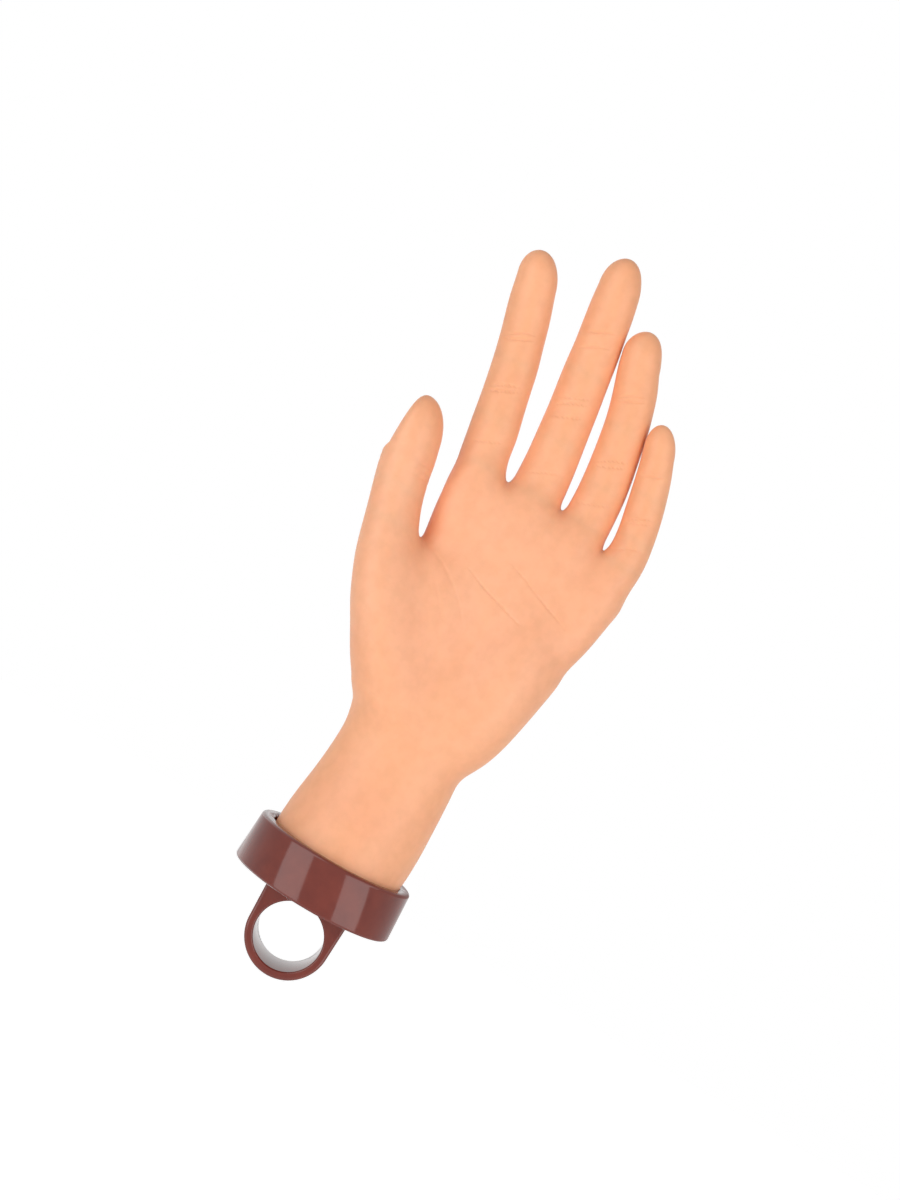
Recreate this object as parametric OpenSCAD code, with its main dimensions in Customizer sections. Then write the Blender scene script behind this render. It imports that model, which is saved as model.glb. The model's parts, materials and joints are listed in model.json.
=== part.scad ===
// Posable left hand on a wrist collar with a ring eye.
// Frame: origin at the centre of the ring eye's bore, +Z up along the wrist to the fingers,
// the palm faces -Y, the thumb lies on -X, the ring eye's bore runs along Y.

/* [Ring eye] */
// Radius of the eye's bore
eye_bore_r = 12; // [8:0.5:13]
// Wall of the eye around its bore
eye_wall = 3; // [2:0.1:3.6]
// Width of the eye along its bore
eye_w = 22; // [14:0.5:30]

/* [Wrist collar] */
// Outer diameter of the collar at its rim
collar_top_d = 58; // [56:0.5:72]
// Outer diameter of the collar at its floor
collar_base_d = 60; // [58:0.5:76]
// Height of the collar from its underside to its rim
collar_h = 17.5; // [14:0.5:24]
// Wall of the collar around the wrist
collar_wall = 4.5; // [3:0.1:6]
// Thickness of the collar's floor
collar_floor_t = 4; // [3:0.1:5]
// Rounding of the collar's outer edges
collar_edge_r = 1.8; // [0.8:0.1:2.5]
// Radius of the two collar screws
screw_r = 1.5; // [1:0.1:2]
// Distance of each collar screw's axis in from the edge of the plug
screw_inset = 1.9; // [1.8:0.05:6]

/* [Wrist] */
// Gap between the collar's wall and the soft cuff
cuff_gap = 0.7; // [0.3:0.1:1.5]
// Thickness of the soft cuff
cuff_t = 2.8; // [2:0.1:4]
// Length of the cuff over the plug
plug_h = 17; // [14:0.5:20]
// Breadth of the wrist at its narrowest
wrist_w = 44.6; // [38:0.2:54]
// Depth of the wrist, palm to back
wrist_t = 34; // [28:0.5:41]
// Height of the narrowest point above the origin
wrist_z = 68; // [62:1:74]

/* [Palm] */
// Height of the middle finger's root hinge above the origin
knuckle_z = 177; // [165:1:215]
// Depth of the palm at its heel
heel_t = 30; // [25:0.5:37]
// Depth of the palm at the knuckles
knuckle_t = 24; // [20:0.5:30]
// Depth of the palm at the webs of the fingers
web_t = 18.5; // [16:0.5:24]
// Palm left over beside the index finger
index_side = 0.2; // [0:0.1:2]
// Palm left over beside the little finger
pinky_side = 1.6; // [0:0.1:4]
// Radius of the thumb's ball
thenar_r = 13; // [11:0.5:16]

/* [Fingers] */
// Breadths of the index finger at its three joints
index_w = [16.4, 16.2, 15.2]; // [12:0.1:21]
// Breadths of the middle finger at its three joints
middle_w = [17.2, 16.8, 15.4]; // [12:0.1:21]
// Breadths of the ring finger at its three joints
ring_w = [16.0, 15.4, 14.4]; // [12:0.1:21]
// Breadths of the little finger at its three joints
pinky_w = [13.2, 12.8, 12.0]; // [10.5:0.1:17]
// Breadths of the thumb at its two joints
thumb_w = [20.4, 19]; // [14:0.1:22]
// Lengths of the index finger's phalanges
index_l = [20.4, 19.0, 29.6]; // [15:0.1:37]
// Lengths of the middle finger's phalanges
middle_l = [25.7, 25.3, 29.8]; // [15:0.1:37]
// Lengths of the ring finger's phalanges
ring_l = [19.1, 22.5, 23.4]; // [15:0.1:37]
// Lengths of the little finger's phalanges
pinky_l = [13.1, 15.5, 17.2]; // [12.5:0.1:26]
// Lengths of the thumb's phalanges
thumb_l = [15.2, 26.0]; // [12.5:0.1:32]
// Room between the index and middle finger's roots
gap_index = 5.0; // [3:0.1:9]
// Room between the middle and ring finger's roots
gap_ring = 3.5; // [2.5:0.1:9]
// Room between the ring and little finger's roots
gap_pinky = 3.3; // [2.5:0.1:9]
// Depth of a finger as a part of its breadth
finger_flat = 0.88; // [0.8:0.01:1]

/* [Armature] */
// Diameter of the bones at their joints
bone_d = 7; // [6:0.1:7.6]
// Diameter of the little finger's bones at their joints
pinky_bone_d = 6; // [5:0.1:6.4]
// Diameter of the hinge pins
pin_d = 2.5; // [2:0.1:3]
// Running clearance of a pin in its tongue, on the radius
pin_gap = 0.05; // [0.02:0.01:0.1]
// Clearance of a tongue in its fork, on each side
tongue_gap = 0.15; // [0.1:0.01:0.3]
// Diameter of the metacarpal rods
rod_d = 5.6; // [4.5:0.1:5.8]
// Diameter of the wrist stem
stem_d = 16; // [12:0.5:20]
// Clearance of the soft skin round a bone
skin_gap = 0.35; // [0.3:0.01:0.6]
// Half of the gap between two skins at a joint
joint_gap = 0.3; // [0.25:0.01:0.6]

/* [Joint travel] */
// Bend of a finger at its root, in degrees
root_bend = 60; // [30:1:65]
// Bend of a finger at its middle joint, in degrees
middle_bend = 75; // [40:1:80]
// Bend of a finger at its tip joint, in degrees
tip_bend = 50; // [30:1:60]
// Bend of a finger backwards at its root, in degrees
back_bend = 10; // [5:1:15]
// Bend of the thumb at its root, in degrees
thumb_bend = 35; // [20:1:40]

/* [Hidden] */
FINGERS = ["index", "middle", "ring", "pinky", "thumb"];
BONES = ["proximal", "middle", "distal"];
THUMB_BONES = ["proximal", "distal"];
PINS = ["middle", "tip"];
THUMB_PINS = ["tip"];

SKIN = [0.99, 0.73, 0.58];
BROWN = [0.42, 0.17, 0.14];
STEEL = [0.72, 0.73, 0.75];
NYLON = [0.93, 0.92, 0.87];

// The rows below follow the order of FINGERS.
breadths = [index_w, middle_w, ring_w, pinky_w, thumb_w];
lengths = [index_l, middle_l, ring_l, pinky_l, thumb_l];
leans = [[11.3, 13.4, 15], [6.7, 8.6, 9.1], [5.7, 12.1, 14.9], [7.5, 14.9, 16.2], [16, 9.5]];
curls = [[1, 4, 8], [2, 5, 9], [2, 5, 9], [2, 6, 10], [4, 7]];
turns = [0, 0, 0, 0, 58];

middle_x = -4;
index_x = middle_x - (index_w[0] + middle_w[0]) / 2 - gap_index;
ring_x = middle_x + (middle_w[0] + ring_w[0]) / 2 + gap_ring;
pinky_x = ring_x + (ring_w[0] + pinky_w[0]) / 2 + gap_pinky;
thumb_x = index_x - 16.7;
pinky_z = knuckle_z - 8;
roots = [
    [index_x, 0.5, knuckle_z],
    [middle_x, 2, knuckle_z],
    [ring_x, 1, knuckle_z - 2],
    [pinky_x, -1.5, pinky_z],
    [thumb_x, -7, knuckle_z - 33.5],
];

sides = 24;            // corners of a skin's ring
round_fn = 48;         // facets of pins, rods and the cuff
collar_fn = 96;        // facets of the collar and its eye
soft_fn = 32;          // facets of the palm's slices
ball_fn = 20;          // facets of the thumb's ball
eps = 0.01;
eye_r = eye_bore_r + eye_wall;
collar_z = eye_r - 1;
rim_z = collar_z + collar_h;
seat_z = collar_z + collar_floor_t;
cup_r = collar_top_d / 2 - collar_wall;
cuff_r = cup_r - cuff_gap;
plug_r = cuff_r - cuff_t - skin_gap;
screw_x = plug_r - screw_inset;
plug_top = seat_z + plug_h;
seat_gap = 0.3;        // between the skin's cuff and the collar's floor
cuff_low = seat_z + seat_gap;
stem_r = stem_d / 2;
stem_foot = seat_z + 7;
carpal_low = wrist_z - 8;
carpal_high = knuckle_z - 77;
carpal_t = 9;
stem_lap = 6;          // how far the stem reaches up into the carpal block
bolt_r = 3;
bolt_head_r = 5;
bolt_head_h = 3.2;
bolt_reach = 16;
screw_head_r = 2.9;
screw_head_h = 2;
screw_reach = 8;
carpal_sockets = [
    [-9, 0.4, carpal_high - 6], [-2, 0.3, carpal_high - 8], [6, 0.5, carpal_high - 7],
    [12, -0.4, carpal_high - 9], [-9, -0.6, wrist_z + 4],
];
nose_back = 5.5;       // how far a distal bone stops short of the fingertip
stub_foot = 16;        // how deep a finger's stub reaches into the palm
split_z = wrist_z + 12; // where the wrist's skin ends and the palm's begins
outside = 90;          // reach of the shapes that divide the palm's skin
slab = 0.8;            // thickness of the slices that the palm is drawn through
web_clear = 1;         // how far the palm's top stays below the little finger when it bends
web_z = pinky_z - pinky_w[0] * finger_flat / 2 * tan(root_bend / 2) - web_clear - slab;
slot_relief = 0.3;     // room under a tongue's round end in its fork

// ---- points and frames -------------------------------------------------------------------------

// Direction of a bone that leans towards -X by lean and bends towards the palm by curl.
function along(lean, curl) = [-sin(lean) * cos(curl), -sin(curl), cos(lean) * cos(curl)];

function joint_at(f, k) =
    k == 0 ? roots[f] : joint_at(f, k - 1) + lengths[f][k - 1] * along(leans[f][k - 1], curls[f][k - 1]);

function mean_of(list, k) = k == 0 ? list[0] : k < len(list) ? (list[k - 1] + list[k]) / 2 : list[k - 1];

// Lean, curl and turn of the frame at joint k: X is the hinge axis, Z runs out along the finger.
function frame_of(f, k) = [mean_of(leans[f], k), mean_of(curls[f], k), turns[f]];

function rot_x(a, p) = [p.x, p.y * cos(a) - p.z * sin(a), p.y * sin(a) + p.z * cos(a)];
function rot_y(a, p) = [p.x * cos(a) + p.z * sin(a), p.y, -p.x * sin(a) + p.z * cos(a)];
function rot_z(a, p) = [p.x * cos(a) - p.y * sin(a), p.x * sin(a) + p.y * cos(a), p.z];

function place(at, fr, p) = at + rot_y(-fr[0], rot_x(fr[1], rot_z(fr[2], p)));

module at_joint(f, k) {
    fr = frame_of(f, k);
    translate(joint_at(f, k)) rotate([0, -fr[0], 0]) rotate([fr[1], 0, 0]) rotate([0, 0, fr[2]])
        children();
}

module rod(from, to, r) {
    d = to - from;
    translate(from) rotate([0, acos(d.z / norm(d)), atan2(d.y, d.x)])
        cylinder(r = r, h = norm(d), $fn = round_fn);
}

function joint_d(f) = f == 3 ? pinky_bone_d : bone_d;
function bends(f, k) = f == 4 ? thumb_bend : [root_bend, middle_bend, tip_bend][k];
function is_last(f, k) = k == len(lengths[f]) - 1;

// ---- soft skins --------------------------------------------------------------------------------

// Height that a skin's end is cut back by at depth y, so that two skins clear each other when bent.
function cut_back(f, k, y) =
    joint_gap + (y < 0 ? -y * tan(bends(f, k) / 2) : y * tan((k == 0 ? back_bend : 1) / 2));

function oval(a, b, t) = [a * cos(t), b * sin(t)];
function square_hole(h, t) = h * [cos(t), sin(t)] / max(abs(cos(t)), abs(sin(t)));

// A ring of a skin at joint k: shape is [half breadth, half depth], or [half side] for the bone's hole.
function ring_points(f, k, shape, lift, side) = [
    for (i = [0 : sides - 1])
        let (t = 360 * i / sides,
             p = len(shape) == 2 ? oval(shape[0], shape[1], t) : square_hole(shape[0], t))
            place(joint_at(f, k), frame_of(f, k), [p.x, p.y, lift + side * cut_back(f, k, p.y)])
];

// Rings of points are joined into a closed solid: a tube when looped, else with an end at both sides.
module loft(rings, looped) {
    n = len(rings[0]);
    m = len(rings);
    strips = [
        for (r = [0 : looped ? m - 1 : m - 2], i = [0 : n - 1])
            let (a = r * n + i, b = r * n + (i + 1) % n,
                 c = ((r + 1) % m) * n + (i + 1) % n, d = ((r + 1) % m) * n + i)
                each [[a, b, c], [a, c, d]]
    ];
    ends = looped ? [] : concat(
        [for (i = [0 : n - 1]) [m * n, (i + 1) % n, i]],
        [for (i = [0 : n - 1]) [m * n + 1, (m - 1) * n + i, (m - 1) * n + (i + 1) % n]]
    );
    centres = looped ? [] : [for (r = [0, m - 1]) [for (i = [0 : n - 1]) 1] * rings[r] / n];
    polyhedron(
        [for (ring = rings) each ring, each centres],
        [for (s = concat(strips, ends)) [s[2], s[1], s[0]]]
    );
}

function half_shape(w) = [w / 2, w * finger_flat / 2];
function hole_at(f) = [joint_d(f) / 2 + skin_gap];

// A skin that lies between two joints.
module tube_skin(f, k) {
    w = breadths[f];
    near = half_shape(w[k]);
    far = half_shape(w[k + 1]);
    loft([
        ring_points(f, k, near, 0, 1),
        ring_points(f, k + 1, far, 0, -1),
        ring_points(f, k + 1, hole_at(f), 0, -1),
        ring_points(f, k, hole_at(f), 0, 1),
    ], true);
}

// A skin that closes over the fingertip; steps are [share of the length, share of the breadth].
tip_steps = [[0.32, 0.99], [0.55, 0.95], [0.72, 0.86], [0.85, 0.70], [0.94, 0.48], [0.99, 0.2]];

function tip_ring(f, k, shape, z) = [
    for (i = [0 : sides - 1])
        let (t = 360 * i / sides,
             p = len(shape) == 2 ? oval(shape[0], shape[1], t) : square_hole(shape[0], t))
            place(joint_at(f, k) + z * along(leans[f][k], curls[f][k]),
                  [leans[f][k], curls[f][k], turns[f]], [p.x, p.y, 0])
];

module tip_skin(f, k) {
    w = breadths[f][k];
    l = lengths[f][k];
    hole = hole_at(f);
    loft([
        tip_ring(f, k, hole, l - nose_back + skin_gap),
        ring_points(f, k, hole, 0, 1),
        ring_points(f, k, half_shape(w), 0, 1),
        for (s = tip_steps) tip_ring(f, k, half_shape(w * s[1]), l * s[0]),
    ], false);
}

// ---- bones and pins ----------------------------------------------------------------------------

function tongue_t(f) = joint_d(f) * 0.42;

// The far end of a bone: two cheeks with the pin's hole, on a square foot.
module fork(f) {
    d = joint_d(f);
    slot = tongue_t(f) + 2 * tongue_gap;
    foot_t = d - 0.4;
    difference() {
        union() {
            rotate([0, 90, 0]) cylinder(d = d, h = d, center = true, $fn = round_fn);
            translate([-d / 2, -foot_t / 2, -d - 1]) cube([d, foot_t, d + 1]);
        }
        translate([-slot / 2, -d, -d / 2 - slot_relief]) cube([slot, 2 * d, 2 * d]);
        rotate([0, 90, 0]) cylinder(d = pin_d, h = 2 * d, center = true, $fn = round_fn);
    }
}

// The near end of a bone: a flat tongue that turns on the pin, and its neck.
module tongue(f) {
    d = joint_d(f);
    t = tongue_t(f);
    neck = d - 2.4;
    difference() {
        union() {
            rotate([0, 90, 0]) cylinder(d = d - 0.4, h = t, center = true, $fn = round_fn);
            translate([-t / 2, -neck / 2, 0]) cube([t, neck, d / 2 + 1.8]);
        }
        rotate([0, 90, 0]) cylinder(d = pin_d + 2 * pin_gap, h = 2 * d, center = true, $fn = round_fn);
    }
}

module bone(f, k) {
    d = joint_d(f);
    start = place(joint_at(f, k), frame_of(f, k), [0, 0, d / 2 + 0.5]);
    color(NYLON) union() {
        at_joint(f, k) tongue(f);
        if (is_last(f, k)) {
            nose = joint_at(f, k) + (lengths[f][k] - nose_back) * along(leans[f][k], curls[f][k]);
            rod(start, nose, d / 2 - 0.5);
        } else {
            rod(start, place(joint_at(f, k + 1), frame_of(f, k + 1), [0, 0, -d / 2 - 1.2]), d / 2 - 0.5);
            at_joint(f, k + 1) fork(f);
        }
    }
}

module hinge_pin(f, k) {
    at_joint(f, k) rotate([0, 90, 0]) cylinder(d = pin_d, h = joint_d(f), center = true, $fn = round_fn);
}

module phalanx_pin(f, k) {
    color(STEEL) hinge_pin(f, k);
}

module phalanx_skin(f, k) {
    color(SKIN) if (is_last(f, k)) tip_skin(f, k); else tube_skin(f, k);
}

// ---- palm --------------------------------------------------------------------------------------

function rod_r(f) = min(rod_d, joint_d(f) - 1.2) / 2;
function fork_foot(f) = place(roots[f], frame_of(f, 0), [0, 0, -joint_d(f)]);

module knuckle_pins() {
    color(STEEL) for (f = [0 : 4]) hinge_pin(f, 0);
}

// Outline of the block in the heel of the hand that the five rods stand on, as [x, z].
carpal_outline = [
    [-13, carpal_low], [12, carpal_low], [17, carpal_high - 8],
    [12, carpal_high], [-10, carpal_high], [-14, carpal_high - 8],
];

module palm_core() {
    color(NYLON) difference() {
        union() {
            translate([0, 0, stem_foot])
                cylinder(r = stem_r, h = carpal_low + stem_lap - stem_foot, $fn = round_fn);
            rotate([90, 0, 0]) linear_extrude(carpal_t, center = true) polygon(carpal_outline);
            for (f = [0 : 4]) {
                rod(carpal_sockets[f], fork_foot(f), rod_r(f));
                at_joint(f, 0) fork(f);
            }
        }
        bolt_in = bolt_reach + bolt_head_h - (stem_foot - seat_z);
        translate([0, 0, stem_foot - eps]) cylinder(r = bolt_r, h = bolt_in + 2 * eps, $fn = round_fn);
    }
}

// Cross sections of the palm from the wrist up: [height, lowest x, highest x, middle y, depth].
palm_left = index_x - index_w[0] / 2 - index_side;
palm_right = pinky_x + pinky_w[0] / 2 + pinky_side;
palm_sections = [
    [plug_top + 5, -cuff_r + 0.8, cuff_r - 0.4, 0, 2 * cuff_r - 6],
    [wrist_z - 14, 1.8 - wrist_w / 2 - 0.4, 1.6 + wrist_w / 2, 0, wrist_t + 1],
    [wrist_z, 1.8 - wrist_w / 2, 1.8 + wrist_w / 2, 0, wrist_t],
    [wrist_z + 20, palm_left + 8, palm_right - 11, -1, heel_t],
    [knuckle_z - 67, palm_left + 5, palm_right - 8, -1.5, heel_t + 1],
    [knuckle_z - 40, palm_left + 4.5, palm_right - 4, -0.5, heel_t - 2],
    [knuckle_z - 20, palm_left + 3, palm_right - 0.4, 0.5, knuckle_t],
    [web_z, palm_left + 1.5, palm_right - 0.6, 0.5, web_t + 1],
];
thenar_balls = [
    [-11, -3.5, wrist_z + 4, 11.5],
    [-22, -5.5, wrist_z + 30, 12.5],
    [thumb_x + 11, -6.5, wrist_z + 52, thenar_r],
];
web_ball = [palm_left + 9, -3, knuckle_z - 49, 9];

module palm_slice(s) {
    translate([(s[1] + s[2]) / 2, s[3], s[0]]) scale([(s[2] - s[1]) / s[4], 1, 1])
        cylinder(d = s[4], h = slab, $fn = soft_fn);
}

// The solid stub that a finger's root stands on.
module root_stub(f) {
    stub = half_shape(breadths[f][0]);
    loft([ring_points(f, 0, stub, -stub_foot, 0), ring_points(f, 0, stub, 0, -1)], false);
}

module core_room() {
    grown = stem_r + skin_gap + 0.2;
    translate([0, 0, plug_top - 1])
        cylinder(r = grown, h = carpal_low + stem_lap + 1.5 - plug_top, $fn = soft_fn);
    rotate([90, 0, 0]) linear_extrude(carpal_t + 2 * skin_gap, center = true)
        offset(delta = skin_gap) polygon(carpal_outline);
    for (f = [0 : 4]) {
        d = joint_d(f) + 2 * skin_gap;
        rod(carpal_sockets[f], fork_foot(f), rod_r(f) + skin_gap + 0.1);
        at_joint(f, 0) translate([-d / 2, -d / 2, -joint_d(f) - 1.4]) cube([d, d, 3 * d]);
    }
}

// The soft palm with its wrist and the thumb's base, in one; the nodes below are its three parts.
module whole_palm() {
    difference() {
        union() {
            translate([0, 0, cuff_low]) cylinder(r = cuff_r, h = plug_top - cuff_low, $fn = round_fn);
            hull() {
                translate([0, 0, plug_top - slab]) cylinder(r = cuff_r, h = slab, $fn = round_fn);
                palm_slice(palm_sections[0]);
            }
            for (i = [0 : len(palm_sections) - 2]) hull() {
                palm_slice(palm_sections[i]);
                palm_slice(palm_sections[i + 1]);
            }
            for (i = [0 : 1]) hull() for (b = [thenar_balls[i], thenar_balls[i + 1]])
                translate([b.x, b.y, b.z]) sphere(r = b[3], $fn = ball_fn);
            hull() {
                inner = half_shape(thumb_w[0] - 0.6);
                for (b = [thenar_balls[2], web_ball])
                    translate([b.x, b.y, b.z]) sphere(r = b[3], $fn = ball_fn);
                loft([ring_points(4, 0, inner, 2 - stub_foot, 0), ring_points(4, 0, inner, -8, 0)], false);
            }
            for (f = [0 : 4]) root_stub(f);
        }
        translate([0, 0, seat_z]) cylinder(r = plug_r + skin_gap, h = plug_h + skin_gap, $fn = round_fn);
        core_room();
    }
}

// Front view of the thumb's base: all that lies on the thumb's side of a line through the web.
web_line_h = 70;
web_line_foot = 12.8;
web_line_top = 1.7;
thumb_side = [
    [-outside, split_z], [palm_left + web_line_foot, split_z],
    [palm_left + web_line_top, split_z + web_line_h], [-outside, split_z + web_line_h],
];

module upper_part(side) {
    rotate([90, 0, 0]) linear_extrude(2 * outside, center = true) difference() {
        translate([-outside, split_z]) square([2 * outside, knuckle_z]);
        if (side == "palm") polygon(thumb_side);
        if (side == "thumb") difference() {
            translate([-outside, split_z]) square([2 * outside, knuckle_z]);
            polygon(thumb_side);
        }
    }
}

module skin_palm() {
    color(SKIN) intersection() {
        whole_palm();
        upper_part("palm");
    }
}

module skin_thumb_base() {
    color(SKIN) intersection() {
        whole_palm();
        upper_part("thumb");
    }
}

module skin_wrist() {
    color(SKIN) difference() {
        whole_palm();
        translate([-outside, -outside, split_z]) cube([2 * outside, 2 * outside, 2 * knuckle_z]);
    }
}

// ---- wrist -------------------------------------------------------------------------------------

module wrist_plug() {
    color(NYLON) difference() {
        translate([0, 0, seat_z]) cylinder(r = plug_r, h = plug_h, $fn = round_fn);
        translate([0, 0, stem_foot]) cylinder(r = stem_r, h = plug_h, $fn = round_fn);
        translate([0, 0, seat_z - eps]) cylinder(r = bolt_r, h = plug_h, $fn = round_fn);
        translate([0, 0, seat_z - eps]) cylinder(r = bolt_head_r, h = bolt_head_h + eps, $fn = round_fn);
        for (s = [-1, 1]) translate([s * screw_x, 0, seat_z - eps])
            cylinder(r = screw_r, h = screw_reach + eps, $fn = round_fn);
    }
}

module core_bolt() {
    color(STEEL) union() {
        translate([0, 0, seat_z]) cylinder(r = bolt_head_r, h = bolt_head_h, $fn = round_fn);
        translate([0, 0, seat_z]) cylinder(r = bolt_r, h = bolt_reach + bolt_head_h, $fn = round_fn);
    }
}

module collar_screws() {
    under = collar_z + screw_head_h;
    color(STEEL) for (s = [-1, 1]) translate([s * screw_x, 0, 0]) union() {
        translate([0, 0, collar_z]) cylinder(r = screw_head_r, h = screw_head_h, $fn = round_fn);
        translate([0, 0, under - eps])
            cylinder(r = screw_r, h = seat_z + screw_reach - under + eps, $fn = round_fn);
    }
}

// Points of an arc from angle a0 to a1 about c.
function arc(c, r, a0, a1, n = 5) = [
    for (i = [0 : n]) let (a = a0 + (a1 - a0) * i / n) c + r * [cos(a), sin(a)]
];

module wrist_collar() {
    e = collar_edge_r;
    ro = collar_top_d / 2;
    rb = collar_base_d / 2;
    lip = 0.8;
    color(BROWN) difference() {
        union() {
            translate([0, 0, collar_z]) rotate_extrude($fn = collar_fn) polygon([
                [0, 0],
                each arc([rb - e, e], e, -90, 0),
                each arc([ro - e, collar_h - e], e, 0, 90),
                each arc([cup_r + lip, collar_h - lip], lip, 90, 180, 3),
                [cup_r, collar_floor_t],
                [0, collar_floor_t],
            ]);
            rotate([90, 0, 0]) linear_extrude(eye_w, center = true) union() {
                circle(r = eye_r, $fn = collar_fn);
                polygon([[-eye_r, 0], [eye_r, 0], [eye_r + 0.5, collar_z + 1], [-eye_r - 0.5, collar_z + 1]]);
            }
        }
        rotate([90, 0, 0]) cylinder(r = eye_bore_r, h = eye_w + 1, center = true, $fn = collar_fn);
        for (s = [-1, 1]) translate([s * screw_x, 0, collar_z - eps]) {
            cylinder(r = screw_head_r, h = screw_head_h + eps, $fn = round_fn);
            cylinder(r = screw_r, h = collar_floor_t + 2 * eps, $fn = round_fn);
        }
    }
}

// ---- nodes -------------------------------------------------------------------------------------

function bone_names(f) = f == 4 ? THUMB_BONES : BONES;
function pin_names(f) = f == 4 ? THUMB_PINS : PINS;

skin_palm();
skin_thumb_base();
skin_wrist();
palm_core();
wrist_plug();
wrist_collar();
collar_screws();
core_bolt();
knuckle_pins();
for (f = [0 : 4], k = [0 : len(lengths[f]) - 1]) {
    bone(f, k);
    phalanx_skin(f, k);
}
for (f = [0 : 4], k = [1 : len(lengths[f]) - 1])
    phalanx_pin(f, k);
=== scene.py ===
import itertools
import json
import math

import bmesh
import bpy
import numpy as np
from mathutils import Matrix, Vector


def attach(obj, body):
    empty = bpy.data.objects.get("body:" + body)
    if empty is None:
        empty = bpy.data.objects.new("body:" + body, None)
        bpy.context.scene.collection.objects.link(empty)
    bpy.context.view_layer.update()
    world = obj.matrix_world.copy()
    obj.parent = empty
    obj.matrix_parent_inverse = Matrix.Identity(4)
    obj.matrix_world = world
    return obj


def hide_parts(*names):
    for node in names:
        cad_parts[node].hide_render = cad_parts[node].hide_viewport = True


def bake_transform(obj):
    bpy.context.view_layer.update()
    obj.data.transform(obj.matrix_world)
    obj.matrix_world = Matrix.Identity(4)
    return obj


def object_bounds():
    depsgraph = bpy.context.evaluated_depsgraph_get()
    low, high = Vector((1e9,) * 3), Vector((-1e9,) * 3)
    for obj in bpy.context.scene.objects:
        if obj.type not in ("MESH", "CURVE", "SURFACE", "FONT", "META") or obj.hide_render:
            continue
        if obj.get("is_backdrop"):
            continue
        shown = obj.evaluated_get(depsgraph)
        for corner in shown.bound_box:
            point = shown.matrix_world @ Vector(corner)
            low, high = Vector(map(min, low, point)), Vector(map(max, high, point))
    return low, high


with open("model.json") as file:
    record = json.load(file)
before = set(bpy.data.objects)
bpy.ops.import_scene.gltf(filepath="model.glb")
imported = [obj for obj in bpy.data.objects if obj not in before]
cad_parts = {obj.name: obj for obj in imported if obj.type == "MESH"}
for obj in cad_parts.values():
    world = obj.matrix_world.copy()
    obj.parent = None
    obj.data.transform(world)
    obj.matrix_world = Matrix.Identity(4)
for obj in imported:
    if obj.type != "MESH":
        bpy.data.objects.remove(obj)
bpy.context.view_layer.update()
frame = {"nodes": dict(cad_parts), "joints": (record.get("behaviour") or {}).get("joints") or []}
scene = bpy.context.scene
mm = 0.001
hinges = {row["name"]: np.array(row["pos_m"]) / mm for row in frame["joints"]}

camera = {"lens": 60.4, "distance": 0.69, "aim": (-0.0104, 0, 0.1256), "roll": 30.4}


def makeCamera(size):
    data = bpy.data.cameras.new("camera")
    data.lens = size["lens"]
    made = bpy.data.objects.new("camera", data)
    scene.collection.objects.link(made)
    turn = math.radians(size["roll"])
    right = Vector((math.cos(turn), 0, math.sin(turn)))
    up = Vector((-math.sin(turn), 0, math.cos(turn)))
    back = right.cross(up)
    place = Vector(size["aim"]) + back * size["distance"]
    made.matrix_world = Matrix.Translation(place) @ Matrix((right, up, back)).transposed().to_4x4()
    scene.camera = made


makeCamera(camera)
print("camera placed")

# all sizes of the hand's soft surface are in millimetres

palm = {
    # height, left, right, front, back, squareness
    "sections": [
        (18.3, -23.8, 23.8, -23.8, 23.8, 2.0), (31, -23.5, 24.8, -23.6, 23.6, 2.0),
        (35, -23.4, 25.1, -23.1, 23.1, 2.0), (44, -22.6, 25.3, -21.4, 21.4, 2.0),
        (52, -21.5, 25.0, -19.5, 19.5, 2.05), (60, -20.7, 24.6, -18.2, 18, 2.1),
        (68, -20.3, 24.1, -17.4, 17.2, 2.15), (76, -20.4, 23.5, -17.4, 17, 2.2),
        (84, -19.9, 25.8, -18.0, 16.5, 2.25), (100, -26.0, 30.5, -16.5, 15.5, 2.3),
        (110, -27.8, 33.8, -15.2, 14.8, 2.35), (120, -29.0, 36.2, -14.0, 14, 2.4),
        (130, -29.1, 35.4, -12.8, 13.6, 2.4), (140, -29.0, 37.4, -11.6, 13.2, 2.4),
        (148, -29.2, 40.5, -10.6, 12.6, 2.4), (156, -29.4, 41.1, -9.8, 11.8, 2.4),
        (164, -30.6, 40.9, -9.1, 10.4, 2.4), (176, -32.0, 40.2, -8.4, 9.4, 2.4),
    ],
    "top": [(-36, 160), (15, 160), (27, 154), (42, 150)],  # x, height where the end starts to round
    "topRound": 9.5,
    "footRound": 1.2,
    "hollow": ((2, -25, 128), (18, 12.6, 27), 9),  # centre, radii, softness
    "mounds": [
        # heel and ball of the thumb, then the pads below the fingers, then the knuckles
        ((20, -5.2, 106), (11, 11.2, 27), 10), ((-24, -6, 118), (9, 9.8, 17), 8),
        ((-12, -5, 112), (10, 9.4, 22), 9), ((-28, -5, 125), (6.5, 8, 7.5), 6),
        ((-22, -5, 158), (8.5, 4.7, 11), 6), ((-4, -5, 159), (8, 4.7, 11), 6),
        ((14, -5, 157), (8, 4.6, 11), 6), ((30, -4.6, 147), (7, 5.2, 18), 7),
        ((-22, 6.5, 157), (6, 5.4, 7), 5), ((-3.5, 7.4, 159), (6, 5.6, 7), 5),
        ((14.5, 6.6, 155), (5.5, 5.4, 7), 5), ((30, 4.6, 148), (5.5, 5.2, 7), 5),
    ],
    "cuff": (21.0, 35.35),  # radius and top of the room for the plug
}

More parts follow.
